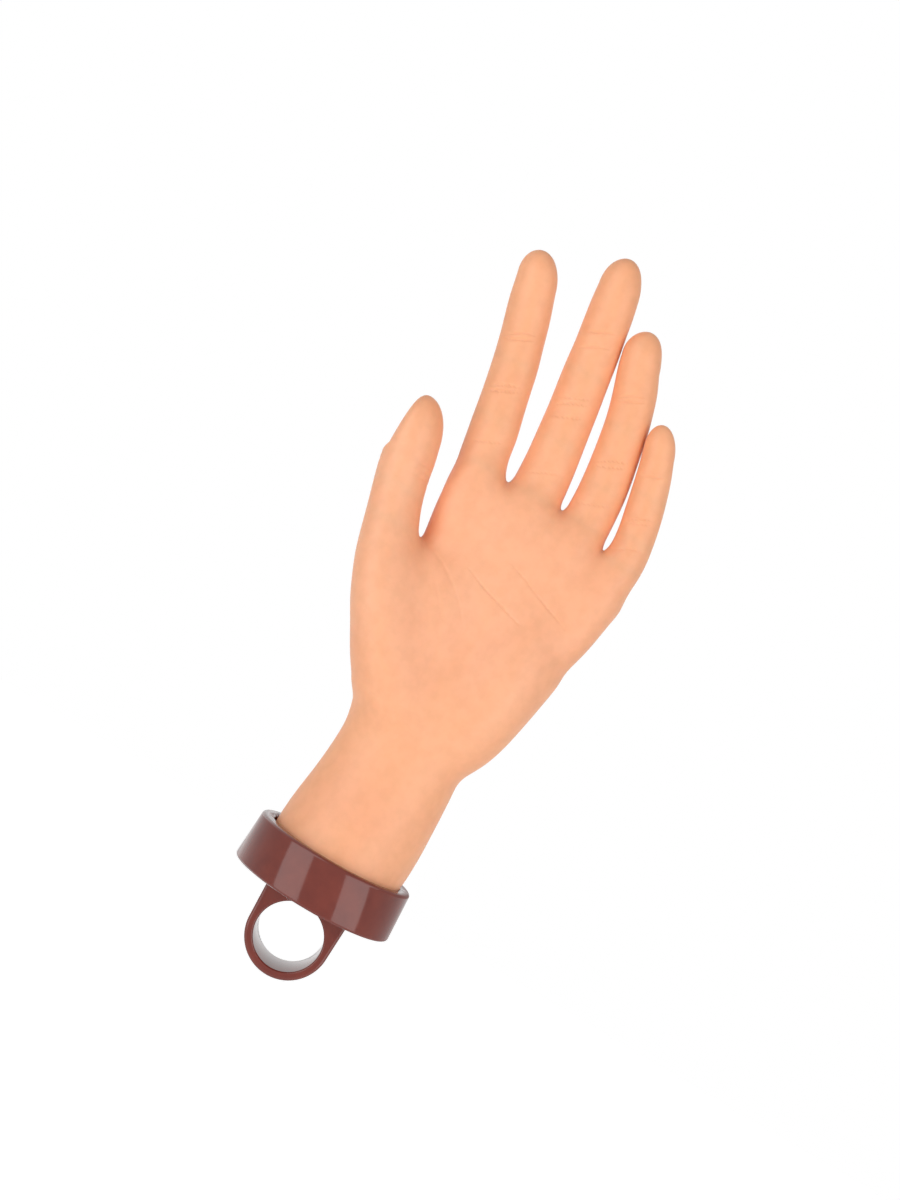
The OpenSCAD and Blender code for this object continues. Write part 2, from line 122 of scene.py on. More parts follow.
thumb = {
    # height, centre x, centre y, half breadth seen from the front
    "line": [
        (80, -10, -5.5, 9.7), (92, -16.5, -7, 12.8), (100, -21, -8, 13.5), (108, -25.8, -8.8, 13.7),
        (116, -30.3, -9, 13.1), (124, -34.4, -8.6, 12.3), (132, -38, -8, 11.1), (140, -41.3, -7.5, 10),
        (148, -44.2, -7.6, 9.45), (156, -46.3, -8, 9.4), (164, -47.7, -8.5, 9.3), (168, -48.6, -8.9, 9.1),
        (176, -50.0, -9.8, 9.1), (183.4, -50.8, -10.8, 9.1),
    ],
    "shape": (1.09, 0.93, 0.97),  # half breadth, depth to the nail and depth to the pad, to that size
    "turn": 58, "web": 138, "seams": [138.7, 150.2],
    "low": 87, "drift": 7, "foot": 6,  # where the foot starts, how far it leans on, and its length
    "high": 168, "tip": 13.6,  # where the tip starts to round, and its length
    "folds": [(145, 6.5), (158, 6.5)],  # height and reach of each blend over a hinge
    "nail": {
        "start": -22.5, "half": 7.6, "sunk": 1.8, "slope": 0.23, "round": 40,
        "tip": (-50.8, -10.8, 183.4), "turn": 80, "lift": 9.9, "soft": 3,
    },
}

fingers = {
    "index": {
        "edges": [
            (150, -29.0, -14.2), (162, -31.2, -14.4), (172, -33.5, -15.6), (176, -34.2, -17.0),
            (184, -35.7, -18.3),
            (192, -37.1, -20.3), (200, -38.7, -22.2), (208, -40.5, -24.0), (216, -42.6, -26.4),
            (224, -45.0, -28.7), (234, -47.2, -32.2), (240, -48.6, -34.0), (245, -49.5, -34.9),
        ],
        "middleLine": [(150, 0.8), (177, 0.5), (197, 0.1), (215, -1.2), (230, -3.2), (245, -5.6)],
        "high": 234, "tip": 10.2, "web": 170, "seams": [170.7, 186.6, 206.4],
        "folds": [(177.6, 6.2), (196.8, 7.8), (215.4, 7.8)],
        "creases": [(196.2, 1.9), (198.4, 1.6), (213.8, 1.6), (216, 1.4), (178.5, 1.2)],
        "nail": {
            "start": -12.8, "half": 5.7, "sunk": 0.95, "slope": 0.13, "round": 12,
            "tip": (-42.2, -5.7, 244.5),
        },
    },
    "middle": {
        "edges": [
            (150, -11.6, 5.8), (162, -12.0, 6.3), (172, -12.7, 6.1), (176, -12.8, 5.7), (184, -13.3, 4.7),
            (192, -14.2, 3.4), (200, -15.1, 2.1), (208, -16.3, 0.8), (216, -17.5, -0.6), (224, -18.4, -1.9),
            (232, -19.7, -3.5), (240, -20.9, -5.0), (245, -21.4, -6.2), (250, -21.8, -7.8),
            (257, -22.4, -8.4),
        ],
        "middleLine": [(150, 2.0), (177, 2.0), (202, 1.1), (227, -1.1), (242, -3.4), (257, -6)],
        "high": 244.4, "tip": 12.0, "web": 170, "seams": [170.7, 190.2, 215.2],
        "folds": [(177.6, 6.2), (202.5, 8.5), (227.4, 8.4)],
        "creases": [(199.6, 1.6), (204.6, 1.9), (206.4, 1.4), (224.8, 1.5), (229.8, 1.8), (179.5, 1.2)],
        "nail": {
            "start": -13, "half": 5.9, "sunk": 0.95, "slope": 0.12, "round": 12, "tip": (-15.6, -6, 256.4),
        },
    },
    "ring": {
        "edges": [
            (148, 7.0, 23.8), (160, 7.7, 25.1), (172, 8.1, 25.3), (176, 8.1, 25.0), (184, 7.6, 24.3),
            (192, 6.6, 23.0), (200, 5.3, 21.3), (208, 3.7, 19.6), (216, 1.3, 17.3), (222, -0.8, 15.2),
            (227.5, -2.4, 12.5), (233, -2.7, 10.0), (238.6, -2.4, 9.0),
        ],
        "middleLine": [(148, 1.2), (175, 1.0), (194, 0.3), (216, -1.6), (228, -3.5), (239, -5.4)],
        "high": 227.5, "tip": 11.1, "web": 170, "seams": [170.7, 184.6, 204.9],
        "folds": [(176.8, 5.4), (194.0, 7.9), (215.9, 8.2)],
        "creases": [(192.4, 1.5), (194.6, 1.6), (214.9, 1.6), (216.8, 1.4), (178.5, 1.1)],
        "nail": {
            "start": -11.6, "half": 5.3, "sunk": 0.9, "slope": 0.13, "round": 11, "tip": (3.5, -5.3, 238.6),
        },
    },
    "pinky": {
        "edges": [
            (140, 27.4, 38.2), (152, 27.4, 40.1), (164, 27.3, 41.6), (172, 27.3, 41.1), (176, 26.8, 40.4),
            (184, 25.1, 38.7), (192, 23.3, 36.4), (200, 21.3, 33.6), (204.5, 19.9, 31.6), (209, 18.9, 29.9),
            (213.6, 17.8, 28.4),
        ],
        "middleLine": [(140, -1.2), (169, -1.5), (182, -2.0), (197, -3.6), (206, -5.0), (214, -6.4)],
        "high": 204.5, "tip": 9.1, "web": 164, "seams": [164.7, 175.0, 189.9],
        "folds": [(169.9, 4.6), (182.4, 6.9), (197.2, 6.8)],
        "creases": [(180.6, 1.3), (182.4, 1.3), (196.4, 1.2), (171.5, 1.0)],
        "nail": {
            "start": -9.4, "half": 4.3, "sunk": 0.8, "slope": 0.15, "round": 9, "tip": (23.1, -6.3, 213.6),
        },
    },
}
fingerShape = {
    "back": 0.83, "front": 0.93,  # depths to the half breadth
    "root": 0.18, "rootEnd": (-4, 14),  # what a root is fuller by, and from the web where that goes
    "foot": 20, "below": 6,  # length of the rounded foot, and how far above the first edge it starts
}
joins = {
    "thumb": 13, "lost": 5,  # softness at the heel, and what it loses over each of the next two heights
    "ball": (86, 108), "thumbWeb": (118, 150),
    "fingers": 2.6, "fingersLeast": 0.02, "fingerWeb": (-2, 5),  # between two fingers, from the web up
    "palm": 5,
    "stub": 4,  # what is left, above its web, of a finger that the other group makes
}
nailCut = {"reach": 30, "breadth": 20, "bend": 0.85, "soft": 0.5}
palmLines = [
    # points x, z of a crease in the palm, its depth and its half width
    ([(-26, 138), (-18, 134.5), (-8, 127), (0, 117)], 0.1, 0.7),
    ([(1, 146.8), (8, 144.4), (13.4, 142), (20, 139.6), (28, 136.6)], 0.34, 0.44),
    ([(-10, 138), (-4.3, 135.6), (4, 133), (14, 130.1)], 0.36, 0.44),
    ([(-19, 130), (-11, 120), (-6, 108), (-5, 95)], 0.1, 0.8),
]
grid = {
    "step": 0.62, "coarse": 4, "low": (-62, -27, 17), "high": (46, 27, 260),
    "far": 30.0, "margin": 14,  # distance away from a limb, and how near it is measured
    "doubt": 1.25,  # coarse steps from the surface within which the fine lattice is filled
    "upper": 158,  # the second group of fingers is made from about this height up
}
settling = {"rounds": 2, "step": 0.1, "flattest": 0.25, "furthest": 0.3}


def smoothTable(rows, soften=2.0, spacing=0.5):
    rows = np.array(rows, float)
    z = np.arange(rows[0, 0], rows[-1, 0] + spacing / 2, spacing)
    slopes = np.gradient(rows[:, 1:], rows[:, 0], axis=0)
    at = np.clip(np.searchsorted(rows[:, 0], z, side="right") - 1, 0, len(rows) - 2)
    gap = rows[at + 1, 0] - rows[at, 0]
    t = np.clip((z - rows[at, 0]) / gap, 0, 1)[:, None]
    gap = gap[:, None]
    a, b = rows[at, 1:], rows[at + 1, 1:]
    table = a * (2 * t**3 - 3 * t**2 + 1) + b * (3 * t**2 - 2 * t**3)
    table += gap * (slopes[at] * (t**3 - 2 * t**2 + t) + slopes[at + 1] * (t**3 - t**2))
    reach = int(3 * soften / spacing)  # a small blur along the limb takes out unevenness between the stations
    kernel = np.exp(-((np.arange(-reach, reach + 1) * spacing / soften) ** 2) / 2)
    kernel /= kernel.sum()
    for i in range(table.shape[1]):
        before = 2 * table[0, i] - table[reach:0:-1, i]
        after = 2 * table[-1, i] - table[-2:-reach - 2:-1, i]
        ends = np.concatenate([before, table[:, i], after])
        table[:, i] = np.convolve(ends, kernel, mode="valid")
    return z, table


def smoothMin(a, b, k):
    mix = np.maximum(k - np.abs(a - b), 0) / k
    return np.minimum(a, b) - mix * mix * k / 4


def smoothMax(a, b, k):
    return -smoothMin(-a, -b, k)


def ease(x, low, high):
    t = np.clip((x - low) / (high - low), 0, 1)
    return t * t * (3 - 2 * t)


def ellipsoid(x, y, z, centre, radii):
    p = [(c - m) / r for c, m, r in zip((x, y, z), centre, radii)]
    k0 = np.sqrt(p[0] ** 2 + p[1] ** 2 + p[2] ** 2) + 1e-9
    k1 = np.sqrt(sum((a / r) ** 2 for a, r in zip(p, radii))) + 1e-9
    return k0 * (k0 - 1) / k1


def ovalDistance(u, v, over, a, b, cap, power=2.0):
    p, q, w = np.abs(u / a), np.abs(v / b), over / cap
    if isinstance(power, float):
        k0 = np.sqrt(p * p + q * q + w * w) + 1e-9
        return k0 * (k0 - 1) / (np.sqrt((p / a) ** 2 + (q / b) ** 2 + (w / cap) ** 2) + 1e-9)
    k0 = (p**power + q**power + w**power) ** (1 / power) + 1e-9
    rise = [(s ** (power - 1) / d) ** 2 for s, d in ((p, a), (q, b), (w, cap))]
    return (k0 - 1) / (np.sqrt(sum(rise)) * k0 ** (1 - power) + 1e-9)


palmTable = smoothTable(palm["sections"])
for sizes in fingers.values():
    edges = np.array(sizes["edges"], float)
    depth = np.interp(edges[:, 0], *np.array(sizes["middleLine"], float).T)
    sizes["line"] = np.column_stack([
        edges[:, 0], (edges[:, 1] + edges[:, 2]) / 2, depth, (edges[:, 2] - edges[:, 1]) / 2,
    ])
    sizes["table"] = smoothTable(sizes["line"])
    sizes["low"] = sizes["edges"][0][0]
thumb["table"] = smoothTable(thumb["line"])
limbs = dict(fingers, thumb=thumb)


def columns(table, z):
    return [np.interp(z, table[0], table[1][:, i]) for i in range(table[1].shape[1])]


def palmDistance(x, y, z):
    top = np.interp(x, *np.array(palm["top"], float).T)
    foot = palm["sections"][0][0] + palm["footRound"]
    left, right, front, back, power = columns(palmTable, np.clip(z, foot, palm["sections"][-1][0]))
    high, low = np.maximum(z - top, 0), np.maximum(foot - z, 0)
    a, b = (right - left) / 2, (back - front) / 2
    over = np.where(high > 0, high, low)
    cap = np.where(high > 0, palm["topRound"], palm["footRound"])
    d = ovalDistance(x - (left + right) / 2, y - (front + back) / 2, over, a, b, cap, power)
    centre, radii, soft = palm["hollow"]
    d = smoothMax(d, -ellipsoid(x, y, z, centre, radii), soft)
    for centre, radii, soft in palm["mounds"]:
        d = smoothMin(d, ellipsoid(x, y, z, centre, radii), soft)
    return d


def limbDistance(name, x, y, z):
    sizes = limbs[name]
    far = np.full(x.shape, grid["far"])
    line = np.array(sizes["line"], float)
    margin = grid["margin"]
    near = (z > sizes["low"] - fingerShape["foot"]) & (z < line[-1, 0] + margin)
    near &= x > (line[:, 1] - line[:, 3]).min() - margin
    near &= x < (line[:, 1] + line[:, 3]).max() + margin
    x, y, z = x[near], y[near], z[near]
    low = sizes["low"] + (0 if name == "thumb" else fingerShape["below"])
    centreX, centreY, _ = columns(sizes["table"], np.clip(z, low - sizes.get("drift", 0), line[-1, 0]))
    half = columns(sizes["table"], np.clip(z, low, sizes["high"]))[2]
    u, v = x - centreX, y - centreY
    web = sizes["web"]
    across, back = 1, fingerShape["back"]
    start, end = fingerShape["rootEnd"]
    front = fingerShape["front"] + fingerShape["root"] * (1 - ease(z, web + start, web + end))
    if name == "thumb":
        turn = math.radians(sizes["turn"])
        u, v = u * math.cos(turn) + v * math.sin(turn), v * math.cos(turn) - u * math.sin(turn)
        across, back, front = sizes["shape"]
    top, bottom = np.maximum(z - sizes["high"], 0), np.maximum(low - z, 0)
    over = np.where(top > 0, top, bottom)
    cap = np.where(top > 0, sizes["tip"], sizes.get("foot", fingerShape["foot"]))
    far[near] = ovalDistance(u, v, over, half * across, half * np.where(v > 0, back, front), cap)
    return far


def partDistances(x, y, z):
    found = {"palm": palmDistance(x, y, z)}
    for name in limbs:
        found[name] = limbDistance(name, x, y, z)
    return found


def joinParts(found, z, group):
    lost = joins["lost"]
    soft = joins["thumb"] - lost * ease(z, *joins["ball"]) - lost * ease(z, *joins["thumbWeb"])
    d = smoothMin(found["palm"], found["thumb"], soft)
    start, end = joins["fingerWeb"]
    joined = None
    for name in fingers:
        web = fingers[name]["web"]
        own = found[name] if name in group else np.maximum(found[name], z - web - joins["stub"])
        if joined is None:
            joined = own
        else:
            soft = joins["fingersLeast"] + joins["fingers"] * (1 - ease(z, web + start, web + end))
            joined = smoothMin(joined, own, soft)
    return smoothMin(d, joined, joins["palm"])


def nailFrame(name):  # tip, then the ways along, out of and across the nail
    sizes = limbs[name]["nail"]
    tip = np.array(sizes["tip"], float)
    along = tip - hinges[name + "_tip"]
    along /= np.linalg.norm(along)
    turn = math.radians(sizes.get("turn", 0))
    out = np.array([-math.sin(turn), math.cos(turn), 0])
    out -= along * (out @ along)
    out /= np.linalg.norm(out)
    return tip, along, out, np.cross(along, out)


def cutNail(d, name, x, y, z):
    sizes = limbs[name]["nail"]
    tip, along, out, side = nailFrame(name)
    near = (z > tip[2] - nailCut["reach"]) & (np.abs(x - tip[0]) < nailCut["breadth"])
    p = np.stack([x[near], y[near], z[near]], 1) - tip
    w, v, u = p @ along, p @ out, p @ side
    start = tip + along * sizes["start"]
    _, centre, half = columns(limbs[name]["table"], start[2])
    lift = sizes.get("lift", half * fingerShape["back"] + (centre - start[1]) * out[1])
    bed = lift - sizes["sunk"] - sizes["slope"] * (w - sizes["start"]) - u * u / (2 * sizes["round"])
    deep = sizes["start"] + sizes["half"] * nailCut["bend"] - w
    rounded = np.sqrt(u * u + (deep / nailCut["bend"]) ** 2)
    outline = np.where(deep > 0, rounded, np.abs(u)) - sizes["half"]
    cut = np.maximum(bed - v, outline)
    d[near] = smoothMax(d[near], -cut, sizes.get("soft", nailCut["soft"]))
    return d


def lineDistance(px, pz, points):
    best = np.full(px.shape, np.inf)
    for a, b in zip(points[:-1], points[1:]):
        a, b = np.array(a, float), np.array(b, float)
        t = np.clip(((px - a[0]) * (b - a)[0] + (pz - a[1]) * (b - a)[1]) / ((b - a) @ (b - a)), 0, 1)
        best = np.minimum(best, np.hypot(px - a[0] - t * (b - a)[0], pz - a[1] - t * (b - a)[1]))
    return best


def curvePoints(points, steps=6):
    points = [np.array(p, float) for p in points]
    padded = [2 * points[0] - points[1], *points, 2 * points[-1] - points[-2]]
    made = []
    for a, b, c, d in zip(padded, padded[1:], padded[2:], padded[3:]):
        for i in range(steps):
            t = i / steps
            made.append(0.5 * (2 * b + (c - a) * t + (2 * a - 5 * b + 4 * c - d) * t**2
                               + (3 * b - a - 3 * c + d) * t**3))
    return made + [points[-1]]


palmCurves = [(curvePoints(points), depth, half) for points, depth, half in palmLines]


lineShape = {"ends": 9, "least": 0.25, "top": 152, "palmSide": (2, 6)}


def palmCreases(x, y, z):
    depth = np.zeros_like(x)
    palmSide = ease(-y, *lineShape["palmSide"])
    low = (z < lineShape["top"]) & (y < 0)
    for points, deep, half in palmCurves:
        fade = ease(np.hypot(x[low] - points[0][0], z[low] - points[0][1]), 0, lineShape["ends"])
        fade *= ease(np.hypot(x[low] - points[-1][0], z[low] - points[-1][1]), 0, lineShape["ends"])
        line = lineDistance(x[low], z[low], points)
        strength = deep * (lineShape["least"] + (1 - lineShape["least"]) * fade)
        depth[low] += strength * np.exp(-((line / half) ** 2)) * palmSide[low]
    return depth


fingerLines = {
    "from": 160, "around": 1.1,  # height they start at, and half breadths they are worked out over
    "slant": 0.42, "bow": 0.9, "aside": 0.1, "reach": 0.58, "depth": 0.2, "half": 0.4, "palmSide": (1, 4),
}
backFolds = {
    "joints": [("_middle", 1), ("_tip", 0.7)], "steps": (-2, -1, 0, 1, 2), "gap": 1.9,  # joint, spread
    "slant": 0.2, "bow": 0.8, "reach": 0.62, "depth": 0.26, "fade": 0.22, "half": 0.6, "backSide": (1.5, 4),
}


def fingerCreases(name, x, y, z):
    sizes = limbs[name]
    centreX, centreY, half = columns(sizes["table"], z)
    u = (x - centreX) / half
    depth = np.zeros_like(x)
    size = fingerLines
    for i, (height, deep) in enumerate(sizes["creases"]):
        off = z - height - size["slant"] * (x - centreX) + (size["bow"] if i % 2 else -size["bow"]) * u * u
        reach = np.exp(-(((u + size["aside"]) / size["reach"]) ** 4)) * ease(centreY - y, *size["palmSide"])
        depth += size["depth"] * deep * reach * np.exp(-((off / size["half"]) ** 2))
    size = backFolds
    for joint, spread in size["joints"]:
        for k in size["steps"]:
            off = z - hinges[name + joint][2] - k * size["gap"] * spread
            off = off - size["slant"] * (x - centreX) + size["bow"] * k * u * u
            reach = np.exp(-((u / size["reach"]) ** 4)) * ease(y - centreY, *size["backSide"])
            deep = size["depth"] * spread * (1 - size["fade"] * abs(k))
            depth += deep * reach * np.exp(-((off / size["half"]) ** 2))
    return depth


thumbFolds = {
    "from": 138, "side": -36, "steps": (-1, 0, 1), "gap": 2.2, "bow": 0.02, "half": 0.5, "reach": 6.5,
    "back": 0.24, "pad": 0.14, "turning": (2, 5),
}


def thumbCreases(x, y, z):
    size = thumbFolds
    depth = np.zeros_like(x)
    turn = math.radians(thumb["turn"])
    centreX, centreY, _ = columns(thumb["table"], z)
    v = (y - centreY) * math.cos(turn) - (x - centreX) * math.sin(turn)
    u = (x - centreX) * math.cos(turn) + (y - centreY) * math.sin(turn)
    near = (z > size["from"]) & (x < size["side"])
    for k in size["steps"]:
        off = z - hinges["thumb_tip"][2] - size["gap"] * k + size["bow"] * u * u
        folds = np.exp(-((off / size["half"]) ** 2)) * np.exp(-((u / size["reach"]) ** 4))
        sides = size["back"] * ease(v, *size["turning"]) + size["pad"] * ease(-v, *size["turning"])
        depth += np.where(near, folds * sides, 0)
    return depth


tendons = {
    "height": 0.42, "half": 2.6, "wrist": 95, "short": 20, "spread": 0.25,
    "start": (92, 112), "end": (150, 166), "backSide": (2, 6),
}


def tendonRidges(x, y, z):
    size = tendons
    height = np.zeros_like(x)
    for name in fingers:
        knuckle = hinges[name + "_root"]
        along = np.clip((z - size["wrist"]) / (knuckle[2] - size["short"] - size["wrist"]), 0, 1)
        line = 1 + (knuckle[0] - 1) * (size["spread"] + (1 - size["spread"]) * along)
        ridge = np.exp(-(((x - line) / size["half"]) ** 2)) * ease(z, *size["start"])
        height += size["height"] * ridge * (1 - ease(z, *size["end"])) * ease(y, *size["backSide"])
    return height


def creaseDepth(x, y, z):
    depth = palmCreases(x, y, z)
    for name in fingers:
        centreX, _, half = columns(limbs[name]["table"], z)
        near = (np.abs(x - centreX) < fingerLines["around"] * half) & (z > fingerLines["from"])
        depth[near] += fingerCreases(name, x[near], y[near], z[near])
    return depth + thumbCreases(x, y, z) - tendonRidges(x, y, z)


def surfaceDistance(x, y, z, group, fine=True):  # below zero inside the skin
    d = joinParts(partDistances(x, y, z), z, group)
    if fine:
        d = d + creaseDepth(x, y, z)
    for name in limbs:
        d = cutNail(d, name, x, y, z)
    radius, top = palm["cuff"]
    room = np.maximum(np.hypot(x, y) - radius, z - top)
    return np.maximum(d, -room)


def distanceSlope(points, group, step=0.2, value=None):
    slope = np.empty_like(points)
    for i in range(3):
        shift = np.zeros(3)
        shift[i] = step
        ahead = surfaceDistance(*(points + shift).T, group)
        if value is None:
            slope[:, i] = (ahead - surfaceDistance(*(points - shift).T, group)) / (2 * step)
        else:
            slope[:, i] = (ahead - value) / step
    return slope


def latticeValues(group, lowest):
    step, coarse = grid["step"], grid["coarse"]
    low = np.array([*grid["low"][:2], lowest], float)
    count = np.ceil((np.array(grid["high"]) - low) / (step * coarse)).astype(int)
    rough = np.stack(np.meshgrid(*[np.arange(n + 1) for n in count], indexing="ij"), -1)
    x, y, z = (low[i] + rough[..., i].ravel() * step * coarse for i in range(3))
    value = surfaceDistance(x, y, z, group, False).reshape(count + 1)
    near = np.zeros(count, bool)
    for i, j, k in itertools.product((0, 1), repeat=3):
        corner = value[i:count[0] + i, j:count[1] + j, k:count[2] + k]
        near |= np.abs(corner) < step * coarse * grid["doubt"]
    fine = np.zeros(count * coarse + 1, bool)
    for i, j, k in np.argwhere(near):
        fine[tuple(slice(n * coarse, (n + 1) * coarse + 1) for n in (i, j, k))] = True
    at = np.argwhere(fine)
    points = low + at * step
    field = np.full(fine.shape, np.nan, np.float32)
    field[tuple(at.T)] = surfaceDistance(*points.T, group, False)
    return field, low, step


def netSurface(field, low, step):  # one point for each cell that the surface crosses
    known = ~np.isnan(field)
    inside = known & (field < 0)
    shape = np.array(field.shape)
    strides = np.array([shape[1] * shape[2], shape[2], 1])
    cells, places, quads = [], [], []
    for axis in range(3):
        b, c = (axis + 1) % 3, (axis + 2) % 3
        here, there = [slice(None)] * 3, [slice(None)] * 3
        here[axis], there[axis] = slice(0, -1), slice(1, None)
        here, there = tuple(here), tuple(there)
        crossing = (inside[here] != inside[there]) & known[here] & known[there]
        at = np.argwhere(crossing)
        at = at[(at[:, b] > 0) & (at[:, c] > 0)]
        first, second = field[tuple(at.T)], field[tuple((at + np.eye(3, dtype=int)[axis]).T)]
        point = at.astype(float)
        point[:, axis] += first / (first - second)
        ids = at @ strides
        ring = [ids - strides[b] - strides[c], ids - strides[c], ids, ids - strides[b]]
        for cell in ring:
            cells.append(cell)
            places.append(point)
        quad = np.stack(ring, 1)
        leaving = first < 0
        quads.append(np.where(leaving[:, None], quad, quad[:, ::-1]))
    cells = np.concatenate(cells)
    used, at = np.unique(cells, return_inverse=True)
    places = np.concatenate(places)
    count = np.bincount(at)
    points = np.stack([np.bincount(at, places[:, i]) / count for i in range(3)], 1)
    faces = np.searchsorted(used, np.concatenate(quads))
    return low + points * step, faces


def settle(points, group, rounds=settling["rounds"]):  # moves points onto the true surface
    points = points.copy()
    for _ in range(rounds):
        value = surfaceDistance(*points.T, group)
        slope = distanceSlope(points, group, settling["step"], value)
        size = np.maximum((slope**2).sum(1), settling["flattest"])
        move = slope * (value / size)[:, None]
        length = np.linalg.norm(move, axis=1, keepdims=True)
        points -= move * np.minimum(1, settling["furthest"] / np.maximum(length, 1e-9))
    slope = distanceSlope(points, group)
    return points, slope / np.maximum(np.linalg.norm(slope, axis=1, keepdims=True), 1e-9)


def sortFaces(centres):  # each face goes to the piece of skin it lies on
    labels = np.zeros(len(centres), int)  # 0 is the palm, then each limb's pieces in turn
    x, y, z = centres.T
    distances = np.stack([limbDistance(name, x, y, z) for name in limbs])
    nearest = distances.argmin(0)
    inPalm = limbDistance("thumb", x, y, z) > palmDistance(x, y, z)
    nearest[inPalm & (nearest == list(limbs).index("thumb"))] = -1
    number, order = 1, {}
    for i, name in enumerate(limbs):
        for k, seam in enumerate(limbs[name]["seams"]):
            labels[(nearest == i) & (z > seam)] = number
            order[number] = (name, k)
            number += 1
    return labels, order


def splitQuads(points, faces):
    pairs = np.sort(np.stack([faces, np.roll(faces, -1, 1)], 2).reshape(-1, 2), 1)
    unique, at = np.unique(pairs, axis=0, return_inverse=True)
    at = at.reshape(-1, 4) + len(points)
    centre = np.arange(len(faces)) + len(points) + len(unique)
    made = np.concatenate([points, points[unique].mean(1), points[faces].mean(1)])
    quads = [np.stack([faces[:, i], at[:, i], centre, at[:, i - 1]], 1) for i in range(4)]
    return made, np.concatenate(quads)


def boundaryLoops(faces):
    edges = np.stack([faces, np.roll(faces, -1, 1)], 2).reshape(-1, 2)
    seen = set(map(tuple, edges.tolist()))
    onward = {}
    for a, b in seen:
        if (b, a) not in seen:
            onward.setdefault(a, []).append(b)
    loops = []
    while onward:
        start = next(iter(onward))
        loop, here = [], start
        while here in onward:
            loop.append(here)
            after = onward[here].pop()
            if not onward[here]:
                del onward[here]
            here = after
        loops.append(loop)
    return loops


def skinPiece(name, points, normals, faces, material):
    used, faces = np.unique(faces, return_inverse=True)
    faces = faces.reshape(-1, 4)
    points, normals = points[used], normals[used]
    loops = boundaryLoops(faces)
    capPoints, capFaces = [], []
    for loop in loops:
        middle = len(points) + len(capPoints)
        capPoints.append(points[loop].mean(0))
        capFaces += [(b, a, middle) for a, b in zip(loop, loop[1:] + loop[:1])]
    every = np.concatenate([points, np.array(capPoints).reshape(-1, 3)]) * mm
    mesh = bpy.data.meshes.new(name)
    mesh.from_pydata(every.tolist(), [], faces.tolist() + capFaces)
    mesh.polygons.foreach_set("use_smooth", [True] * len(mesh.polygons))
    corners = normals[faces.ravel()].tolist()
    for a, b, c in capFaces:
        flat = np.cross(every[b] - every[a], every[c] - every[a])
        flat = (flat / max(np.linalg.norm(flat), 1e-12)).tolist()
        corners += [flat] * 3
    mesh.normals_split_custom_set(corners)
    mesh.materials.append(material)
    made = bpy.data.objects.new(name, mesh)
    scene.collection.objects.link(made)
    return made


def newMaterial(name):
    made = bpy.data.materials.new(name)
    made.use_nodes = True
    nodes, links = made.node_tree.nodes, made.node_tree.links
    return made, nodes, links, nodes["Principled BSDF"]


def addNode(nodes, kind, **values):
    made = nodes.new(kind)
    for key, value in values.items():
        if key in made.inputs:
            made.inputs[key].default_value = value
        else:
            setattr(made, key, value)
    return made


def fillRamp(ramp, deep, light, positions):
    first, second = ramp.color_ramp.elements
    first.position, second.position = positions
    first.color, second.color = deep, light


def mixColours(nodes, links, share, a, b, blend="MIX"):
    made = addNode(nodes, "ShaderNodeMix", data_type="RGBA", blend_type=blend)
    if isinstance(share, (int, float)):
        made.inputs[0].default_value = share
    else:
        links.new(share, made.inputs[0])
    links.new(a, made.inputs[6])  # 6, 7 and output 2 are the sockets of a colour mix
    links.new(b, made.inputs[7])
    return made.outputs[2]


def addRoughness(nodes, links, shader, pattern, limits):
    rough = addNode(nodes, "ShaderNodeMapRange")
    rough.inputs["To Min"].default_value, rough.inputs["To Max"].default_value = limits
    links.new(pattern, rough.inputs["Value"])
    links.new(rough.outputs[0], shader.inputs["Roughness"])


def addBump(nodes, links, shader, pattern, strength, distance):
    bump = addNode(nodes, "ShaderNodeBump", Strength=strength, Distance=distance)
    links.new(pattern, bump.inputs["Height"])
    links.new(bump.outputs[0], shader.inputs["Normal"])


def fromScreen(red, green, blue):  # a screen colour as linear light
    def level(c):
        c /= 255
        return c / 12.92 if c <= 0.04045 else ((c + 0.055) / 1.055) ** 2.4
    return (level(red), level(green), level(blue), 1)


vinyl = {
    "palm": (243, 178, 139), "palmDeep": (240, 171, 131),
    "finger": (243, 176, 134), "fingerDeep": (239, 168, 124),
    "heel": (243, 177, 134), "toPalm": (0.075, 0.12), "toFinger": (0.15, 0.195),  # heights between colours
    "patches": 26, "patchEdge": (0.3, 0.7),
    "fine": 240, "speck": (0.955, 0.94, 0.93, 1), "speckEdge": (0.35, 0.6),
    "pores": 1500, "poreDepth": 0.035, "poreSize": 0.0005, "roughness": (0.42, 0.52), "gloss": 0.35,
    "glow": 0.16, "glowColour": (1, 0.35, 0.15), "glowDepth": 0.006,
}


